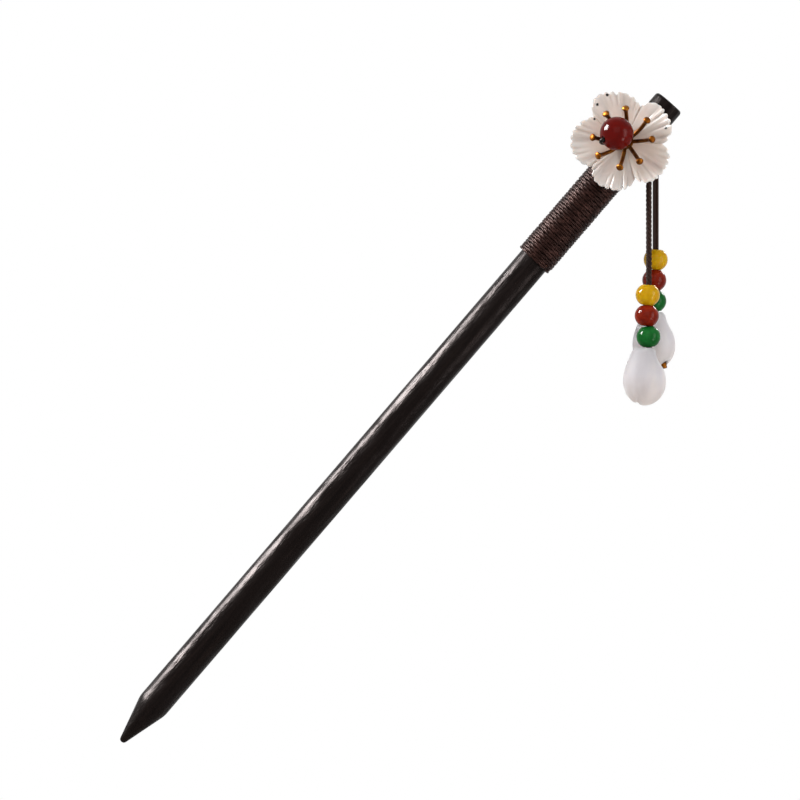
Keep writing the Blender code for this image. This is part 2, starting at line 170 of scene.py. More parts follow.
# Stamens; the dome on a head goes by height and share of the head's radius
STAMEN_ANGLES = [math.radians(a) for a in (36.3, 75.6, 125.1, 165.2, 218.6, 256.7, 306.3, 346.7)]
STAMEN_RADIUS = 0.000432
STAMEN_REACH = 0.0064
STAMEN_RISE = 0.0038
STAMEN_KNEE = 0.62
STAMEN_BEND, STAMEN_BEND_MORE = 0.22, 0.26
HEAD_RADIUS = 0.0008
HEAD_LENGTH = 0.0011
HEAD_FLARE = 1.7
HEAD_DOME = ((0.00012, 1.0), (0.00027, 0.9), (0.0004, 0.66), (0.00046, 0.3))
HUB_RADIUS = 0.0017
HUB_THICKNESS = 0.0005
HUB_ROUNDING = 0.00015
HUB_GAP = 0.0003
HUB_BOTTOM = FLOWER_BACK + FLOWER_MIDDLE + HUB_GAP

# Centre bead and the wire that ties it down
BEAD_RADIUS = 0.0036
BEAD_GAP = 0.0005
BEAD_HEIGHT = HUB_BOTTOM + HUB_THICKNESS + BEAD_GAP + BEAD_RADIUS
BEAD_LEAN = (-0.00144, -0.00012)
BEAD_DRILL_RADIUS = 0.0006
BEAD_MOUTH = 1.25
BEAD_LIP = 0.00015
DRILL_ANGLE = math.radians(252.6)
DRILL_LIFT = math.radians(33)
DRILL = Vector((math.cos(DRILL_LIFT) * math.cos(DRILL_ANGLE), -math.sin(DRILL_LIFT),
                math.cos(DRILL_LIFT) * math.sin(DRILL_ANGLE)))
WIRE_RADIUS = 0.0002
KNOT_RADIUS = 0.00046
KNOT_LENGTH = 0.0014
WIRE_SPREAD = 0.00045
WIRE_ANGLE = math.radians(232)
WIRE_HUG_GAP = 0.00012
WIRE_HUG_END = 66
WIRE_HUG_SHARES = (0.12, 0.33, 0.56, 0.8, 1)
WIRE_BORE_DEPTH = 0.0004
WIRE_BEHIND = 0.0004
WIRE_TABS = (Vector((0, 0.0002, -0.0009)), Vector((0, 0.0002, -0.0019)))
WIRE_TAB_SPREAD = Vector((0.0004, 0, 0))
KNOT_SINK = 0.0004

# Dark specks on the shell: their pixel in the photograph, and their real size
SHELL_HEART_PIXEL = (625, 142)
SPECKS = (((606.8, 95.6), 0.0004), ((597, 105.2), 0.00037), ((664.8, 129), 0.00036), ((594, 119.5), 0.0003))
SPECK_CORE = 0.6
SPECK_RAGGED = 0.0004

# Cords: plies, their radius, and the length of one twist; the bridge goes out from the hole's middle, then down
CORD_RADIUS = 0.00065
CORD_PLIES = {"front": (3, 0.00037, 0.003), "back": (2, 0.00036, 0)}
CORD_STEPS = 160
LEAST_SIDE = 0.3
BRIDGE_RISE = 0.00035
BRIDGE_ROUTE = ((0.00405, -0.0007), (0.0033, -0.00015), (0.0022, 0))

# Small beads; they lean by degrees about X and Y
SMALL_BEAD_RADIUS = 0.0026
SMALL_BEAD_HALF = 0.00248
SMALL_BEAD_LENGTH = 0.0043
SMALL_BEAD_BORE = 0.0007
MOUTH_FLARE, MOUTH_RISE, MOUTH_DEPTH = 0.00022, 0.00002, 0.0002
ASIDE_FULL_FROM = 0.4
BEAD_ASIDE = {"front_green": -0.0001, "front_red": -0.00045, "front_yellow": -0.00025, "back_green": -0.0003,
              "back_red": -0.0003, "back_yellow": 0}
BEAD_TILTS = {"green": (3, -4), "red": (-4, 3), "yellow": (2, 5)}

# Shell drops and their brass crimps
DROP_TOP_RADIUS = 0.00235
DROP_RADIUS = 0.0046
DROP_SHOULDER = 0.0072
DROP_BELLY = 0.0051
DROP_LENGTH = DROP_SHOULDER + DROP_BELLY
DROP_TAPER_POWER = 1.06
DROP_FLANK_STEPS = 24
CROWN_ROUNDING, CROWN_END = 0.0006, 0.35
DROP_ASIDE = {"front": -0.00094, "back": -0.0004}
# One flank of each drop is cut flatter, most at this depth
FLAT_FLANK = {"front": 0.195, "back": 0.12}
FLANK_DEPTH, FLANK_SPREAD = 0.0021, 0.0019
DROP_FOLDS = [(math.radians(a), depth) for a, depth in ((222, 0.15), (318, 0.07), (95, 0.12))]
DROP_FOLD_WIDTH = 0.24
DROP_FOLDS_FROM, DROP_FOLDS_SPAN = 0.35, 0.6
DROP_LOBES, DROP_LOBE_DEPTH, DROP_LOBE_TURN = 3, 0.012, 0.8
DROP_NOTCH_AT, DROP_NOTCH_WIDTH, DROP_NOTCH_RISE = -0.0015, 0.0004, 0.0004
DROP_NOTCH_SLOPE = 1.4
DROP_BORE = 0.0007
DROP_DRILL_BEFORE, DROP_DRILL_AFTER = 0.004, 0.02
CRIMP_ASIDE = {"front": -0.0008, "back": -0.0006}
CRIMP_HALF = 0.0006
CRIMP_SEAT_RADIUS, CRIMP_SEAT_DEPTH, CRIMP_SEAT_CLEAR = 0.00095, 0.0003, 0.006
CRIMP_PROFILE = [(0.0004, -CRIMP_HALF), (0.00062, -CRIMP_HALF), (0.0007, -0.00052), (0.00074, -0.0002), (0.00066, 0),
                 (0.00074, 0.0002), (0.0007, 0.00052), (0.00062, CRIMP_HALF), (0.0004, CRIMP_HALF)]
TAIL_PAST_SEAT = 0.0002


class Value:
    """A shader socket, or a number, that takes part in Python expressions."""

    def __init__(self, paint, socket):
        self.paint, self.socket = paint, socket

    def _math(self, operation, *values):
        return self.paint.node("ShaderNodeMath", {"operation": operation}, dict(enumerate(values)))

    def __add__(self, other):
        return self._math("ADD", self, other)

    def __sub__(self, other):
        return self._math("SUBTRACT", self, other)

    def __rsub__(self, other):
        return self._math("SUBTRACT", other, self)

    def __mul__(self, other):
        return self._math("MULTIPLY", self, other)

    __radd__, __rmul__ = __add__, __mul__


class Paint:
    """A node tree built node by node: a new material's, or the one that is given."""

    def __init__(self, name, tree=None):
        if not tree:
            self.material = bpy.data.materials.new(name)
            self.material.use_nodes = True
        self.tree = tree or self.material.node_tree
        self.shader = self.tree.nodes.get("Principled BSDF")

    def node(self, kind, settings=None, values=None, out=0):
        node = self.tree.nodes.new(kind)
        for key, value in (settings or {}).items():
            if key == "stops":
                ramp = node.color_ramp.elements
                while len(ramp) < len(value):
                    ramp.new(0.5)
                for stop, (at, colour) in zip(ramp, value):
                    stop.position = at
                    stop.color = (*colour, 1)
            else:
                setattr(node, key, value)
        for key, value in (values or {}).items():
            if isinstance(value, Value):
                self.tree.links.new(value.socket, node.inputs[key])
            else:
                node.inputs[key].default_value = value
        return Value(self, node.outputs[out])

    def place(self, turn=(0, 0, 0), scale=(1, 1, 1), shift=(0, 0, 0)):
        where = self.node("ShaderNodeTexCoord", out=3)
        turned_place = self.node("ShaderNodeMapping", {}, {0: where, 2: turn})
        return self.node("ShaderNodeMapping", {}, {0: turned_place, 1: shift, 3: scale})

    def noise(self, where, scale, detail=3.0, roughness=0.55):
        values = {"Vector": where, "Scale": scale, "Detail": detail, "Roughness": roughness}
        return self.node("ShaderNodeTexNoise", {}, values)

    def ramp(self, value, stops):
        return self.node("ShaderNodeValToRGB", {"stops": stops}, {0: value})

    def range(self, value, low, high, new_low, new_high):
        return self.node("ShaderNodeMapRange", {}, {0: value, 1: low, 2: high, 3: new_low, 4: new_high})

    def mix(self, share, one, two):
        values = {0: share, 6: one if isinstance(one, Value) else (*one, 1),
                  7: two if isinstance(two, Value) else (*two, 1)}
        return self.node("ShaderNodeMix", {"data_type": "RGBA"}, values, out=2)

    def bump(self, height, strength, distance):
        return self.node("ShaderNodeBump", {}, {"Height": height, "Strength": strength, "Distance": distance})

    def finish(self, links, **constants):
        for key, value in links.items():
            self.tree.links.new(value.socket, self.shader.inputs[key])
        for key, value in constants.items():
            self.shader.inputs[key.replace("_", " ")].default_value = value
        return self.material


def photo_place(x, z):
    """A place on the pin's plane, from its pixel in the photograph."""
    return (x - GRIP_PIXEL[0]) * PIXEL, 0, (GRIP_PIXEL[1] - z) * PIXEL


def unturn(matrix):
    """The turn that brings a pattern on Object coordinates into the frame of a matrix."""
    return tuple(matrix.to_3x3().inverted().to_euler())


def dark_wood():
    """Near-black polished wood: long grain and the soft waves of hand work."""
    paint = Paint("polished_dark_wood")
    grain = paint.noise(paint.place(unturn(PIN), (1, 1, 0.04)), 1500, 4)
    waves = paint.noise(paint.place(unturn(PIN), (1, 1, 0.28)), 520, 3)
    colour = paint.ramp(grain, [(0.3, (0.003, 0.002, 0.0018)), (0.62, (0.006, 0.0038, 0.0032)),
                                (0.8, (0.014, 0.008, 0.006))])
    rough = paint.range(grain * 0.25 + waves * 0.75, 0.38, 0.62, 0.22, 0.4)
    bump = paint.bump(waves * 0.95 + grain * 0.05, 0.6, 0.0005)
    return paint.finish({"Base Color": colour, "Roughness": rough, "Normal": bump}, Specular_IOR_Level=0.06,
                        Specular_Tint=(1.0, 0.82, 0.79, 1))


def brown_thread():
    paint = Paint("brown_thread")
    where = paint.place()
    fibre = paint.noise(where, 5200, 3)
    patch = paint.noise(where, 520, 2)
    colour = paint.ramp(patch * 0.6 + fibre * 0.4, [(0.3, (0.003, 0.0013, 0.001)), (0.5, (0.014, 0.0056, 0.0045)),
                                                    (0.68, (0.058, 0.025, 0.02))])
    bump = paint.bump(fibre, 0.6, 0.00005)
    return paint.finish({"Base Color": colour, "Roughness": paint.range(fibre, 0.3, 0.7, 0.3, 0.46), "Normal": bump},
                        Specular_IOR_Level=0.1, Specular_Tint=(1.0, 0.56, 0.48, 1))


def black_cord():
    paint = Paint("black_cord")
    where = paint.place()
    fibre = paint.noise(where, 6000, 3)
    colour = paint.ramp(fibre, [(0.3, (0.006, 0.0026, 0.0018)), (0.7, (0.045, 0.018, 0.012))])
    return paint.finish({"Base Color": colour, "Roughness": paint.range(fibre, 0.3, 0.7, 0.5, 0.8),
                         "Normal": paint.bump(fibre, 0.5, 0.00004)}, Specular_IOR_Level=0.08)


def carved_shell():
    """White mother-of-pearl with warm clouds; a darker warm heart of painted shade, a paler rim partly of painted
    light, a tone for each petal that holds painted shade, and a few dark specks.
    """
    paint = Paint("carved_pearl_shell")
    where = paint.place()
    cloud = paint.noise(where, 190, 3)
    tint = paint.noise(paint.place(shift=(0.05, 0.02, 0.03)), 330, 3)
    veil = paint.ramp(cloud, [(0.32, (0.62, 0.52, 0.47)), (0.5, (0.71, 0.63, 0.58)), (0.7, (0.79, 0.73, 0.69))])
    hue = paint.ramp(tint, [(0.3, (0.68, 0.62, 0.55)), (0.5, (0.73, 0.65, 0.59)), (0.7, (0.77, 0.64, 0.59))])
    colour = paint.mix(0.45, veil, hue)
    flat = paint.place(scale=(1, 0, 1))
    heart = photo_place(*SHELL_HEART_PIXEL)
    out = paint.node("ShaderNodeVectorMath", {"operation": "DISTANCE"}, {0: flat, 1: heart}, out=1)
    # Painted shade: the heart under the bead and stamens is painted darker, partly with the shell's warm tint.
    colour = paint.mix(paint.range(out, 0.003, 0.0085, 0.5, 0), colour, (0.66, 0.53, 0.44))
    # The rim is painted paler, partly as painted light.
    colour = paint.mix(paint.range(out, 0.0078, 0.0112, 0, 0.55), colour, (0.86, 0.81, 0.78))
    # The tone attribute carries each petal's tone and its groove shade, both holding painted shade.
    tone = paint.node("ShaderNodeAttribute", {"attribute_name": "tone"}, out=2)
    colour = paint.node("ShaderNodeMix", {"data_type": "RGBA", "blend_type": "MULTIPLY"},
                        {0: 1.0, 6: colour, 7: tone}, out=2)
    ragged = (paint.noise(flat, 2600, 2) - 0.5) * SPECK_RAGGED
    for pixel, size in SPECKS:
        spot = photo_place(*pixel)
        near = paint.node("ShaderNodeVectorMath", {"operation": "DISTANCE"}, {0: flat, 1: spot}, out=1) + ragged
        colour = paint.mix(paint.range(near, size * SPECK_CORE, size, 1, 0), colour, (0.004, 0.003, 0.003))
    return paint.finish({"Base Color": colour, "Roughness": paint.range(cloud, 0.3, 0.7, 0.3, 0.44),
                         "Normal": paint.bump(tint, 0.25, 0.00012)},
                        Specular_IOR_Level=0.3, Subsurface_Weight=0.75, Subsurface_Radius=(1, 0.82, 0.72),
                        Subsurface_Scale=0.0018)


def drop_shell():
    """Milky shell that lets light in, a little warmer towards its low end, with painted shade at its top."""
    paint = Paint("milky_shell")
    cloud = paint.noise(paint.place(scale=(1, 1, 0.4)), 420, 3)
    depth = paint.node("ShaderNodeAttribute", {"attribute_name": "depth"}, out=2)
    colour = paint.ramp(cloud, [(0.3, (0.62, 0.59, 0.61)), (0.5, (0.67, 0.64, 0.66)), (0.7, (0.72, 0.68, 0.68))])
    colour = paint.mix(paint.range(depth, 0.45, 1, 0, 0.7), colour, (0.70, 0.60, 0.54))
    # Painted shade: the drop's top is painted greyer and darker.
    colour = paint.mix(paint.range(depth, 0, 0.5, 0.75, 0), colour, (0.47, 0.45, 0.47))
    return paint.finish({"Base Color": colour, "Roughness": paint.range(cloud, 0.3, 0.7, 0.46, 0.58),
                         "Normal": paint.bump(cloud, 0.15, 0.0002)},
                        Specular_IOR_Level=0.045, Subsurface_Weight=0.9, Subsurface_Radius=(1, 0.92, 0.9),
                        Subsurface_Scale=0.0035)


def antique_brass():
    paint = Paint("antique_brass")
    where = paint.place()
    tarnish = paint.noise(where, 900, 4)
    colour = paint.ramp(tarnish, [(0.32, (0.055, 0.015, 0.0015)), (0.52, (0.12, 0.037, 0.0036)),
                                  (0.72, (0.24, 0.095, 0.014))])
    return paint.finish({"Base Color": colour, "Roughness": paint.range(tarnish, 0.3, 0.7, 0.5, 0.36),
                         "Normal": paint.bump(tarnish, 0.3, 0.00005)}, Metallic=1.0)


def dark_wire():
    paint = Paint("dark_wire")
    wear = paint.noise(paint.place(), 1500, 3)
    colour = paint.ramp(wear, [(0.35, (0.004, 0.003, 0.003)), (0.7, (0.014, 0.011, 0.01))])
    return paint.finish({"Base Color": colour, "Roughness": paint.range(wear, 0.3, 0.7, 0.3, 0.5)},
                        Metallic=0.6, Specular_IOR_Level=0.1)


def polished_stone(name, deep, mid, bright, glow=0.0):
    """A polished bead stone with soft clouds and fine veins."""
    paint = Paint(name)
    cloud = paint.noise(paint.place(), 260, 3)
    vein = paint.noise(paint.place(scale=(1, 1, 2.2), shift=(0.02, 0, 0.01)), 850, 4)
    colour = paint.ramp(cloud * 0.7 + vein * 0.3, [(0.34, deep), (0.5, mid), (0.68, bright)])
    return paint.finish({"Base Color": colour, "Roughness": paint.range(vein, 0.3, 0.7, 0.09, 0.15)},
                        Specular_IOR_Level=0.065, Subsurface_Weight=glow, Subsurface_Radius=(1, 0.5, 0.1),
                        Subsurface_Scale=0.0012)


FINISHES = {
    "wood": dark_wood(),
    "thread": brown_thread(),
    "cord": black_cord(),
    "shell": carved_shell(),
    "drop_shell": drop_shell(),
    "brass": antique_brass(),
    "wire": dark_wire(),
    "center_stone": polished_stone("dark_red_stone", (0.092, 0.0018, 0.0008), (0.12, 0.0025, 0.001),
                                   (0.15, 0.004, 0.0015)),
    "red_stone": polished_stone("orange_red_stone", (0.13, 0.006, 0.002), (0.2, 0.012, 0.003), (0.29, 0.026, 0.007),
                                0.15),
    "yellow_stone": polished_stone("yellow_stone", (0.54, 0.285, 0.003), (0.6, 0.33, 0.004), (0.66, 0.38, 0.008),
                                   0.4),
    "green_stone": polished_stone("green_stone", (0.003, 0.075, 0.01), (0.006, 0.115, 0.017), (0.013, 0.17, 0.03)),
}


def piece(name, mesh, body, slot, nodes=()):
    """A finished piece: its place is in its mesh, and it rides on a body and stands for its nodes."""
    obj = bpy.data.objects.new(name, mesh)
    bpy.context.scene.collection.objects.link(obj)
    mesh.materials.clear()
    mesh.materials.append(FINISHES[slot])
    if body:
        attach(obj, body)
    if nodes:
        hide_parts(*nodes)
    return obj


def mesh_of(bm, name, matrix=None, sharp=SHARP_ANGLE):
    """A mesh from a bmesh, put in place, merged and shaded smooth."""
    bmesh.ops.remove_doubles(bm, verts=bm.verts, dist=MERGE_DISTANCE)
    bmesh.ops.recalc_face_normals(bm, faces=bm.faces)
    if matrix:
        bmesh.ops.transform(bm, matrix=matrix, verts=bm.verts)
    mesh = bpy.data.meshes.new(name)
    bm.to_mesh(mesh)
    bm.free()
    mesh.shade_smooth()
    mesh.set_sharp_from_angle(angle=math.radians(sharp))
    return mesh


def turned(profile, sides, closed):
    """A bmesh turned about Z from (radius, height) points."""
    bm = bmesh.new()
    ring = [bm.verts.new((r, 0, z)) for r, z in profile]
    pairs = list(zip(ring, ring[1:])) + ([(ring[-1], ring[0])] if closed else [])
    edges = [bm.edges.new(pair) for pair in pairs]
    bmesh.ops.spin(bm, geom=ring + edges, cent=(0, 0, 0), axis=(0, 0, 1), dvec=(0, 0, 0), angle=2 * math.pi,
                   steps=sides, use_merge=True, use_normal_flip=False, use_duplicate=False)
    return bm


def arc(centre, radius_r, radius_z, start, end, steps):
    """Points of an ellipse's arc, as (radius, height)."""
    angles = [start + (end - start) * i / steps for i in range(steps + 1)]
    return [(centre[0] + radius_r * math.cos(a), centre[1] + radius_z * math.sin(a)) for a in angles]


def smooth_path(points, steps):
    """A smooth run of points through those given."""
    points = [Vector(p) for p in points]
    padded = [2 * points[0] - points[1]] + points + [2 * points[-1] - points[-2]]
    path = []
    for a, b, c, d in zip(padded, padded[1:], padded[2:], padded[3:]):
        for i in range(steps):
            t = i / steps
            path.append(0.5 * (2 * b + (c - a) * t + (2 * a - 5 * b + 4 * c - d) * t * t
                               + (3 * b - a - 3 * c + d) * t ** 3))
    return path + [points[-1]]


def tubes_mesh(name, routes, resolution, matrix=None):
    """Round tubes along routes of (point, radius), as one mesh."""
    curve = bpy.data.curves.new(name, "CURVE")
    curve.dimensions = "3D"
    curve.bevel_depth = 1.0
    curve.bevel_resolution = resolution
    curve.use_fill_caps = True
    for route in routes:
        spline = curve.splines.new("POLY")
        spline.points.add(len(route) - 1)
        for target, (point, radius) in zip(spline.points, route):
            target.co = (*point, 1)
            target.radius = radius
    guide = bpy.data.objects.new(name, curve)
    bpy.context.scene.collection.objects.link(guide)
    mesh = bpy.data.meshes.new_from_object(guide.evaluated_get(bpy.context.evaluated_depsgraph_get()))
    bpy.data.objects.remove(guide)
    bm = bmesh.new()
    bm.from_mesh(mesh)
    bpy.data.meshes.remove(mesh)
    return mesh_of(bm, name, matrix, 65)


def drilled(mesh, name, drills):
    """A mesh with round holes cut through it, each (start, end, radius)."""
    body = bpy.data.objects.new(name, mesh)
    bpy.context.scene.collection.objects.link(body)
    tools = []
    for start, end, radius in drills:
        bm = bmesh.new()
        bmesh.ops.create_cone(bm, cap_ends=True, segments=32, radius1=radius, radius2=radius,
                              depth=(end - start).length)
        turn = Vector((0, 0, 1)).rotation_difference(end - start).to_matrix().to_4x4()
        tool = bpy.data.objects.new("drill", mesh_of(bm, "drill", Matrix.Translation((start + end) / 2) @ turn))
        bpy.context.scene.collection.objects.link(tool)
        cut = body.modifiers.new("drill", "BOOLEAN")
        cut.object = tool
        cut.operation = "DIFFERENCE"
        cut.solver = "EXACT"
        tools.append(tool)
    result = bpy.data.meshes.new_from_object(body.evaluated_get(bpy.context.evaluated_depsgraph_get()))
    for obj in tools + [body]:
        bpy.data.objects.remove(obj)
    result.shade_smooth()
    result.set_sharp_from_angle(angle=math.radians(SHARP_ANGLE))
    return result


def pin_point(across, height, along_from_tip):
    """A point in the pin's own frame."""
    return Vector((across, -height, along_from_tip - GRIP_FROM_TIP))


def make_stick():
    tip = arc((0, TIP_RADIUS), TIP_RADIUS, TIP_RADIUS, -math.pi / 2, -TAPER, 8)
    shoulder = tip[-1][1] + (STICK_RADIUS - TIP_RADIUS * math.cos(TAPER)) / math.tan(TAPER)
    inward, down = SHOULDER_EASE
    round_shoulder = [(STICK_RADIUS - SHOULDER_SOFT * math.tan(TAPER), shoulder - SHOULDER_SOFT),
                      (STICK_RADIUS - SHOULDER_SOFT * inward, shoulder - SHOULDER_SOFT * down),
                      (STICK_RADIUS, shoulder + SHOULDER_SOFT)]
    butt = arc((STICK_RADIUS - BUTT_ROUNDING, STICK_LENGTH - BUTT_ROUNDING), BUTT_ROUNDING, BUTT_ROUNDING,
               0, math.pi / 2, 6)
    profile = tip + round_shoulder + butt + [(0, STICK_LENGTH)]
    profile[0] = (0, 0)
    mesh = mesh_of(turned(profile, STICK_SIDES, False), "stick", PIN @ Matrix.Translation(pin_point(0, 0, 0)), 60)
    reach = 2 * STICK_RADIUS
    drills = [(PIN @ pin_point(0, -reach, along), PIN @ pin_point(0, reach, along), radius)
              for along, radius in ((CORD_HOLE_FROM_TIP, CORD_HOLE_RADIUS), (FLOWER_FROM_TIP, TIE_HOLE_RADIUS))]
    piece("polished_stick", drilled(mesh, "stick", drills), "pin", "wood", ["stick"])


def make_winding():
    """Two threads lie side by side in each turn, and each thread is two plies twisted together."""
    count = WINDING_TURNS * POINTS_PER_TURN
    for thread in (0, 1):
        routes = []
        for ply in (0, 1):
            route = []
            for i in range(count + 1):
                turn = i / POINTS_PER_TURN
                angle = 2 * math.pi * turn
                wander = noise.noise((turn * 0.9, thread * 7.3, 0.5)) * THREAD_WANDER
                along = WINDING_FROM_TIP + THREAD_RADIUS + WINDING_PITCH * turn + PAIR_SPACING * thread + wander
                lift = noise.noise((turn * 1.3, 4.1 + thread, 2.5)) * THREAD_LIFT
                twist = math.pi * (ply + 0.5 * thread) + 2 * math.pi * turn * WINDING_RADIUS * 2 * math.pi / PLY_TWIST
                radius = WINDING_RADIUS + lift + PLY_HEIGHT * PLY_SPREAD * math.cos(twist)
                point = pin_point(radius * math.cos(angle), radius * math.sin(angle),
                                  along + PLY_WIDTH * PLY_SPREAD * math.sin(twist))
                route.append((point, PLY_RADIUS))
            routes.append(route)
        mesh = tubes_mesh("winding", routes, 1, PIN)
        piece(f"winding_thread_{thread + 1}", mesh, "pin", "thread", ["thread_winding"])


def petal_at(angle):
    """Where an angle lies across its petal, from -1 to 1, and the number of that petal."""
    count = len(PETAL_ANGLES)
    full = 2 * math.pi
    for i, middle in enumerate(PETAL_ANGLES):
        before = PETAL_ANGLES[i - 1] - (full if i == 0 else 0)
        after = PETAL_ANGLES[(i + 1) % count] + (full if i == count - 1 else 0)
        low, high = (before + middle) / 2, (middle + after) / 2
        for turned_angle in (angle, angle - full, angle + full):
            if low <= turned_angle < high:
                return 2 * (turned_angle - low) / (high - low) - 1, i
    return 0.0, 0


def smooth_step(low, high, value):
    """0 below low, 1 above high, and an even rise between."""
    share = min(1, max(0, (value - low) / (high - low)))
    return share * share * (3 - 2 * share)


def make_flower():
    """Fluted fan petals with toothed rims, each stepping over the next, shaped from one grid; each vertex's tone
    holds painted shade.
    """
    columns, front_rings, rim_rings, back_rings = 550, 34, 4, 9
    rings = front_rings + rim_rings + back_rings + 1
    bm = bmesh.new()
    bmesh.ops.create_grid(bm, x_segments=columns, y_segments=rings, size=0.5)
    tone = bm.verts.layers.float.new("tone")
    hole = TIE_HOLE_RADIUS
    start = (PETAL_ANGLES[-1] + PETAL_ANGLES[0]) / 2 - math.pi
    for vert in bm.verts:
        column = vert.co.x + 0.5
        ring = round((vert.co.y + 0.5) * rings)
        angle = start + 2 * math.pi * column
        across, petal = petal_at(angle)
        drift = CARVING_DRIFT * noise.noise((across * 2.4, petal * 5.3, 1.7))
        phase = (across + 1) / 2 * PETAL_TEETH + drift
        groove = (0.5 + 0.5 * math.cos(2 * math.pi * phase)) ** TOOTH_SHARPNESS
        strength = TOOTH_LEAST + TOOTH_VARIETY * noise.cell((math.floor(phase + 0.5) + 0.5, petal + 0.5, 3.5))
        wide = (across + 1) / 2 * PETAL_FOLDS + 0.5 + drift
        fold = (0.5 + 0.5 * math.cos(2 * math.pi * wide)) ** PETAL_FOLD_SHARPNESS
        variety = noise.cell((math.floor(wide + 0.5) + 0.5, petal + 0.5, 8.5))
        fold *= PETAL_FOLD_LEAST + PETAL_FOLD_VARIETY * variety
        rim = PETAL_LENGTHS[petal] - NOTCH_DEPTH * abs(across) ** PETAL_SHOULDERS[petal]
        rim -= TOOTH_DEPTH * strength * groove
        rim += PETAL_SKEWS[petal] * math.sin(math.pi * across)
        rim += RIM_WANDER * noise.noise((petal * 2.3, across * 1.8, 7.7))
        if ring <= front_rings:
            share, side = ring / front_rings, 1.0
        elif ring <= front_rings + rim_rings:
            share, side = 1.0, 1 - (ring - front_rings) / rim_rings
        elif ring <= front_rings + rim_rings + back_rings:
            share, side = 1 - (ring - front_rings - rim_rings) / back_rings, 0.0
        else:
            share, side = 0.0, 1.0
        bulge = RIM_BULGE * math.sin(math.pi * side) if share == 1.0 else 0
        radius = hole + (rim - hole) * share + bulge
        outward = (radius - hole) / (FLOWER_RADIUS - hole)
        base = FLOWER_BACK + FLOWER_CUP * outward ** 2
        thickness = FLOWER_MIDDLE + (FLOWER_EDGE - FLOWER_MIDDLE) * outward
        step = -PETAL_STEP * outward * across
        arch = PETAL_ARCH * outward * (1 - abs(across) ** ARCH_POWER)
        arch += PETAL_WAVE * outward * noise.noise((across * 1.6 + 3 * petal, outward * 1.3, 5.1))
        carve = FLUTE_DEPTH * strength * groove * smooth_step(*FLUTE_REACH, share)
        carve += PETAL_FOLD_DEPTH * fold * smooth_step(*PETAL_FOLD_REACH, share)
        # Painted shade: the tone darkens in the carved grooves and lightens on the ridges.
        shade = RIDGE_PAINTED_LIGHT - GROOVE_PAINTED_SHADE * min(1, carve / GROOVE_FULL_SHADE_DEPTH)
        vert[tone] = PETAL_TONES_AND_SHADE[petal] * shade
        crease = CREASE_DEPTH * outward * max(0, (abs(across) - CREASE_FROM) / CREASE_SPAN)
        front = base + thickness + step + arch - carve - crease
        back = base + max(step, 0)
        height = back + (front - back) * side
        vert.co = pin_point(FLOWER_ASIDE[0] + radius * math.cos(angle), height,
                            FLOWER_FROM_TIP + FLOWER_ASIDE[1] + radius * math.sin(angle))
    piece("carved_flower", mesh_of(bm, "flower", PIN, 75), "pin", "shell", ["shell_flower"])


def make_stamens():
    """A brass ring with filaments that curve up round the bead and end in flared, domed heads."""
    inner = TIE_HOLE_RADIUS
    section = arc((HUB_RADIUS - HUB_ROUNDING, HUB_THICKNESS - HUB_ROUNDING), HUB_ROUNDING, HUB_ROUNDING,
                  0, math.pi / 2, 3)
    profile = [(inner, 0), (HUB_RADIUS, 0)] + section + [(inner, HUB_THICKNESS)]
    face = PIN @ Matrix.Translation(pin_point(0, HUB_BOTTOM, FLOWER_FROM_TIP)) @ Matrix.Rotation(math.pi / 2, 4, "X")
    hub = mesh_of(turned(profile, 48, True), "hub", face, 50)
    piece("stamen_ring", hub, "pin", "brass", ["stamen_spray"])
    routes = []
    out = Vector((0, -1, 0))
    root = pin_point(0, HUB_BOTTOM + HUB_THICKNESS / 2, FLOWER_FROM_TIP)
    for angle in STAMEN_ANGLES:
        heading = Vector((math.cos(angle), 0, math.sin(angle)))
        bend = STAMEN_BEND + STAMEN_BEND_MORE * max(0, math.cos(angle))
        path = smooth_path([root + heading * (HUB_RADIUS + inner) / 2,
                            root + heading * (STAMEN_REACH * STAMEN_KNEE) + out * (STAMEN_RISE * bend),
                            root + heading * STAMEN_REACH + out * STAMEN_RISE], 18)
        ahead = (path[-1] - path[-2]).normalized()
        route = []
        for point in path:
            flare = max(0.0, 1 - (path[-1] - point).length / HEAD_LENGTH)
            route.append((point, STAMEN_RADIUS + (HEAD_RADIUS - STAMEN_RADIUS) * flare ** HEAD_FLARE))
        route += [(path[-1] + ahead * rise, HEAD_RADIUS * share) for rise, share in HEAD_DOME]
        routes.append(route)
    piece("stamen_filaments", tubes_mesh("filaments", routes, 5, PIN), "pin", "brass", ["stamen_spray"])


def make_center_bead():
    tilt = math.asin(BEAD_DRILL_RADIUS * BEAD_MOUTH / BEAD_RADIUS)
    side = arc((0, 0), BEAD_RADIUS, BEAD_RADIUS, math.pi / 2 - tilt, tilt - math.pi / 2, 40)
    lip = BEAD_RADIUS * math.cos(tilt) - BEAD_LIP
    profile = side + [(BEAD_DRILL_RADIUS, -lip), (BEAD_DRILL_RADIUS, lip)]
    turn = Vector((0, 0, 1)).rotation_difference(DRILL).to_matrix().to_4x4()
    place = PIN @ Matrix.Translation(pin_point(BEAD_LEAN[0], BEAD_HEIGHT, FLOWER_FROM_TIP + BEAD_LEAN[1])) @ turn
    piece("red_center_bead", mesh_of(turned(profile, 72, True), "center_bead", place, 60), "pin", "center_stone",
          ["center_bead"])


def strand_facts(prefix):
    """Where one strand's cord starts, bends and ends, read from the joints."""
    places = {j["name"]: Vector(j["pos_m"]) for j in frame["joints"] if "pos_m" in j}
    return places[f"{prefix}_sway"], places[f"{prefix}_nod"], places[f"{prefix}_drop_spin"]


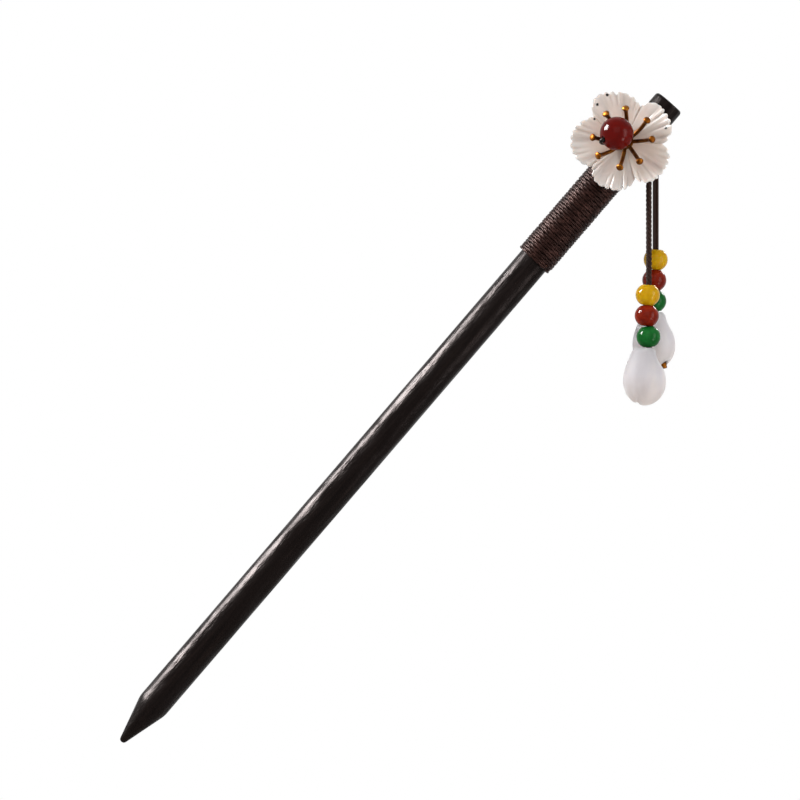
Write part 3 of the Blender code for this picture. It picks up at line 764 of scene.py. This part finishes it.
def cord_mesh(name, path, plies, ply_radius, lay):
    """Plies twisted round a path; a lay of zero leaves them side by side."""
    routes = []
    spread = CORD_RADIUS - ply_radius
    total = 0.0
    lengths = [0.0]
    for a, b in zip(path, path[1:]):
        total += (b - a).length
        lengths.append(total)
    for k in range(plies):
        route = []
        for i, point in enumerate(path):
            ahead = (path[min(i + 1, len(path) - 1)] - path[max(i - 1, 0)]).normalized()
            side = ahead.cross(Vector((0, 1, 0)))
            side = side.normalized() if side.length > LEAST_SIDE else ahead.cross(Vector((1, 0, 0))).normalized()
            up = side.cross(ahead)
            turn = 2 * math.pi * k / plies + (2 * math.pi * lengths[i] / lay if lay else 0)
            route.append((point + spread * (side * math.cos(turn) + up * math.sin(turn)), ply_radius))
        routes.append(route)
    return tubes_mesh(name, routes, 3)


def make_bridge():
    """The cord where it comes out of the stick on both sides and turns down into the strands."""
    hole = PIN @ pin_point(0, 0, CORD_HOLE_FROM_TIP)
    outward = PIN.to_3x3() @ Vector((0, -1, 0))
    route = []
    for prefix, side in (("front", 1), ("back", -1)):
        start = strand_facts(prefix)[0]
        half = [start, start + Vector((0, 0, BRIDGE_RISE))]
        half += [hole + outward * (side * out) + Vector((0, 0, rise)) for out, rise in BRIDGE_ROUTE]
        route += half if side == 1 else half[::-1]
    path = smooth_path(route, 8)
    piece("cord_bridge_twist", cord_mesh("bridge", path, *CORD_PLIES["front"]), "pin", "cord", ["cord_bridge"])


def make_cord(prefix):
    """A hanging cord, straight down from its start to the height of its drop."""
    start, bend, end = strand_facts(prefix)
    length = start.z - end.z
    path = [start + Vector((0, 0, -length * i / CORD_STEPS)) for i in range(CORD_STEPS + 1)]
    cord = piece(f"{prefix}_cord", cord_mesh(f"{prefix}_cord", path, *CORD_PLIES[prefix]), None, "cord")
    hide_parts(f"{prefix}_cord_upper", f"{prefix}_cord_lower")
    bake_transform(cord)
    return cord, path, length


def make_bead(prefix, colour):
    """A barrel-round stone bead, drilled a little off its middle."""
    low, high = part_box(f"{prefix}_bead_{colour}")
    centre = (Vector(low) + Vector(high)) / 2
    tilt = math.asin(SMALL_BEAD_LENGTH / 2 / SMALL_BEAD_HALF)
    side = arc((0, 0), SMALL_BEAD_RADIUS, SMALL_BEAD_HALF, tilt, -tilt, 30)
    lip = SMALL_BEAD_LENGTH / 2
    mouth = SMALL_BEAD_BORE + MOUTH_FLARE
    profile = side + [(mouth, -lip - MOUTH_RISE), (SMALL_BEAD_BORE, -lip + MOUTH_DEPTH),
                      (SMALL_BEAD_BORE, lip - MOUTH_DEPTH), (mouth, lip + MOUTH_RISE)]
    lean = [math.radians(a) for a in BEAD_TILTS[colour]]
    turn = Matrix.Rotation(lean[0], 4, "X") @ Matrix.Rotation(lean[1], 4, "Y")
    bm = turned(profile, 56, True)
    for vert in bm.verts:
        share = (math.hypot(vert.co.x, vert.co.y) - mouth) / (SMALL_BEAD_RADIUS - mouth)
        vert.co.x += BEAD_ASIDE[f"{prefix}_{colour}"] * smooth_step(0, ASIDE_FULL_FROM, share)
    mesh = mesh_of(bm, f"{prefix}_{colour}", Matrix.Translation(centre) @ turn, 35)
    return piece(f"{prefix}_{colour}_bead", mesh, f"{prefix}_{colour}", f"{colour}_stone",
                 [f"{prefix}_bead_{colour}"])


def make_drop(prefix):
    """A carved shell drop, the cord's tail in its bore and the crimp that ends it."""
    _, _, top = strand_facts(prefix)
    flank = []
    for i in range(DROP_FLANK_STEPS + 1):
        share = i / DROP_FLANK_STEPS
        rise = math.sin(math.pi / 2 * share ** DROP_TAPER_POWER)
        flank.append((DROP_TOP_RADIUS + (DROP_RADIUS - DROP_TOP_RADIUS) * rise, -DROP_SHOULDER * share))
    crown = arc((DROP_TOP_RADIUS - CROWN_ROUNDING, -CROWN_ROUNDING), CROWN_ROUNDING, CROWN_ROUNDING,
                math.pi / 2, CROWN_END, 5)
    belly = arc((0, -DROP_SHOULDER), DROP_RADIUS, DROP_BELLY, 0, -math.pi / 2, 30)
    belly[-1] = (0, -DROP_LENGTH)
    bm = turned([(0, 0)] + crown + flank[2:] + belly[1:], 96, False)
    for vert in bm.verts:
        around = math.atan2(vert.co.y, vert.co.x)
        low = min(1, max(0, (-vert.co.z / DROP_LENGTH - DROP_FOLDS_FROM) / DROP_FOLDS_SPAN))
        fold = sum(depth * math.exp(-(math.remainder(around - at, 2 * math.pi) / DROP_FOLD_WIDTH) ** 2)
                   for at, depth in DROP_FOLDS)
        lobes = DROP_LOBE_DEPTH * low * math.cos(DROP_LOBES * around + DROP_LOBE_TURN)
        slim = 1 - low * low * fold + lobes
        flat = FLAT_FLANK[prefix] * math.exp(-((vert.co.z + FLANK_DEPTH) / FLANK_SPREAD) ** 2)
        vert.co.x *= slim * (1 - flat * max(0, math.cos(around)))
        vert.co.y *= slim
        wide = DROP_NOTCH_WIDTH * (DROP_NOTCH_SLOPE if vert.co.x > DROP_NOTCH_AT else 1)
        vert.co.z += DROP_NOTCH_RISE * low * low * math.exp(-((vert.co.x - DROP_NOTCH_AT) / wide) ** 2)
    hang = Matrix.Translation(top + Vector((DROP_ASIDE[prefix], 0, 0)))
    crimp_low, crimp_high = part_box(f"{prefix}_crimp")
    crimp = (Vector(crimp_low) + Vector(crimp_high)) / 2 + Vector((CRIMP_ASIDE[prefix], 0, 0))
    heading = (crimp - top).normalized()
    seat = crimp - heading * CRIMP_HALF
    mesh = mesh_of(bm, f"{prefix}_drop", hang, 60)
    drills = [(top - heading * DROP_DRILL_BEFORE, top + heading * DROP_DRILL_AFTER, DROP_BORE),
              (seat - heading * CRIMP_SEAT_DEPTH, seat + heading * CRIMP_SEAT_CLEAR, CRIMP_SEAT_RADIUS)]
    mesh = drilled(mesh, f"{prefix}_drop", drills)
    depth = mesh.attributes.new("depth", "FLOAT", "POINT")
    for vert, value in zip(mesh.vertices, depth.data):
        value.value = (top.z - vert.co.z) / DROP_LENGTH
    drop = piece(f"{prefix}_shell_drop", mesh, f"{prefix}_drop", "drop_shell", [f"{prefix}_drop"])
    tail_path = smooth_path([top, top + (seat - top) * 0.5, seat + heading * TAIL_PAST_SEAT], 12)
    tail = piece(f"{prefix}_cord_tail", cord_mesh("tail", tail_path, *CORD_PLIES[prefix]), f"{prefix}_drop", "cord",
                 [f"{prefix}_drop_cord"])
    turn = Vector((0, 0, 1)).rotation_difference(heading).to_matrix().to_4x4()
    crimp_mesh = mesh_of(turned(CRIMP_PROFILE, 40, True), "crimp", Matrix.Translation(crimp) @ turn, 50)
    end = piece(f"{prefix}_brass_crimp", crimp_mesh, f"{prefix}_drop", "brass", [f"{prefix}_crimp"])
    return [drop, tail, end]


def make_tie_wire():
    """One wire: up a leg, round the bead, through its bore with a knot at the mouth, down again, and flat behind."""
    heart = pin_point(BEAD_LEAN[0], BEAD_HEIGHT, FLOWER_FROM_TIP + BEAD_LEAN[1])
    under = Vector((0, 1, 0))
    level = Vector((math.cos(DRILL_ANGLE), 0, math.sin(DRILL_ANGLE)))
    hug = BEAD_RADIUS + WIRE_RADIUS + WIRE_HUG_GAP
    legs = []
    for side in (1, -1):
        foot = pin_point(side * WIRE_SPREAD * math.cos(WIRE_ANGLE), 0, FLOWER_FROM_TIP
                         + side * WIRE_SPREAD * math.sin(WIRE_ANGLE))
        start = -side * math.degrees(DRILL_LIFT)
        turns = [math.radians(start + (WIRE_HUG_END - start) * share) for share in WIRE_HUG_SHARES]
        hugging = [heart + hug * (level * side * math.cos(t) + under * math.sin(t)) for t in turns]
        straight = [foot - under * (HUB_BOTTOM + HUB_THICKNESS), foot, foot + under * (STICK_RADIUS + WIRE_BEHIND)]
        legs.append([heart + DRILL * side * (BEAD_RADIUS - WIRE_BORE_DEPTH)] + hugging + straight)
    tabs = [legs[0][-1] + step for step in WIRE_TABS]
    path = smooth_path(legs[0][::-1] + legs[1], 8)
    tail = smooth_path([legs[0][-1]] + tabs, 8)
    other = smooth_path([legs[1][-1], (legs[1][-1] + tabs[0]) / 2, tabs[1] + WIRE_TAB_SPREAD], 8)
    mouth = heart + DRILL * (BEAD_RADIUS + KNOT_RADIUS * 0.5) + under * KNOT_SINK
    routes = []
    for line in (path, tail, other):
        near = [max(0, 1 - (point - mouth).length / KNOT_LENGTH) for point in line]
        routes.append([(point, WIRE_RADIUS + (KNOT_RADIUS - WIRE_RADIUS) * share ** 0.5)
                       for point, share in zip(line, near)])
    piece("tie_wire_loop", tubes_mesh("tie_wire", routes, 3, PIN), "pin", "wire", ["tie_wire"])


def lamp(name, place, width, height, power, lights_surfaces):
    """A soft box that looks at the object."""
    light = bpy.data.lights.new(name, "AREA")
    light.shape = "RECTANGLE"
    light.size, light.size_y = width, height
    light.energy = power
    obj = bpy.data.objects.new(name, light)
    obj.location = place
    obj.rotation_euler = (LAMP_AIM - Vector(place)).to_track_quat("-Z", "Y").to_euler()
    obj.visible_diffuse = lights_surfaces
    bpy.context.scene.collection.objects.link(obj)


def make_stage():
    """Camera, lamps, pale floor and a white surround."""
    scene = bpy.context.scene
    scene.view_settings.view_transform = "Standard"
    camera = bpy.data.cameras.new("camera")
    camera.sensor_width = SENSOR
    camera.lens = SENSOR * CAMERA_DISTANCE / (IMAGE_SIDE * PIXEL)
    camera.clip_end = CAMERA_REACH
    eye = bpy.data.objects.new("camera", camera)
    half = IMAGE_SIDE / 2
    eye.location = ((half - GRIP_PIXEL[0]) * PIXEL, -CAMERA_DISTANCE, (GRIP_PIXEL[1] - half) * PIXEL)
    eye.rotation_euler = (math.pi / 2, 0, 0)
    scene.collection.objects.link(eye)
    scene.camera = eye
    for name, settings in LAMPS.items():
        lamp(name, *settings)
    world = bpy.data.worlds.new("surround")
    scene.world = world
    world.use_nodes = True
    tree = world.node_tree
    back = tree.nodes["Background"]
    path = tree.nodes.new("ShaderNodeLightPath")
    paint = Paint("surround", tree)
    rays = [Value(paint, path.outputs[f"Is {ray} Ray"]) for ray in ("Camera", "Transmission", "Glossy")]
    seen = paint.node("ShaderNodeMath", {"operation": "ADD", "use_clamp": True}, {0: rays[0] + rays[1], 1: rays[2]})
    strength = seen * (1 - AMBIENT) + AMBIENT
    tree.links.new(strength.socket, back.inputs["Strength"])
    back.inputs["Color"].default_value = (1, 1, 1, 1)
    bm = bmesh.new()
    bmesh.ops.create_grid(bm, x_segments=1, y_segments=1, size=FLOOR_HALF)
    floor_mesh = mesh_of(bm, "floor", Matrix.Translation((0, 0, cad_box[0][2] - FLOOR_DROP)))
    floor = bpy.data.objects.new("floor", floor_mesh)
    scene.collection.objects.link(floor)
    paint = Paint("pale_floor")
    where = paint.place()
    far = paint.node("ShaderNodeVectorMath", {"operation": "LENGTH"}, {0: where}, out=1)
    tone = paint.ramp(paint.noise(where, 6, 2), [(0.3, (0.88, 0.88, 0.88)), (0.7, (0.92, 0.92, 0.92))])
    fade = paint.range(far, FLOOR_HALF * FLOOR_FADE[0], FLOOR_HALF * FLOOR_FADE[1], 1, 0)
    floor_mesh.materials.append(paint.finish({"Base Color": tone, "Alpha": fade}, Roughness=0.9,
                                             Specular_IOR_Level=0.1))


make_stage()
for strand in ("front", "back"):
    hanging, route, run = make_cord(strand)
    strung = [make_bead(strand, colour) for colour in ("green", "red", "yellow")] + make_drop(strand)
make_bridge()
make_stick()
make_winding()
make_flower()
make_stamens()
make_center_bead()
make_tie_wire()
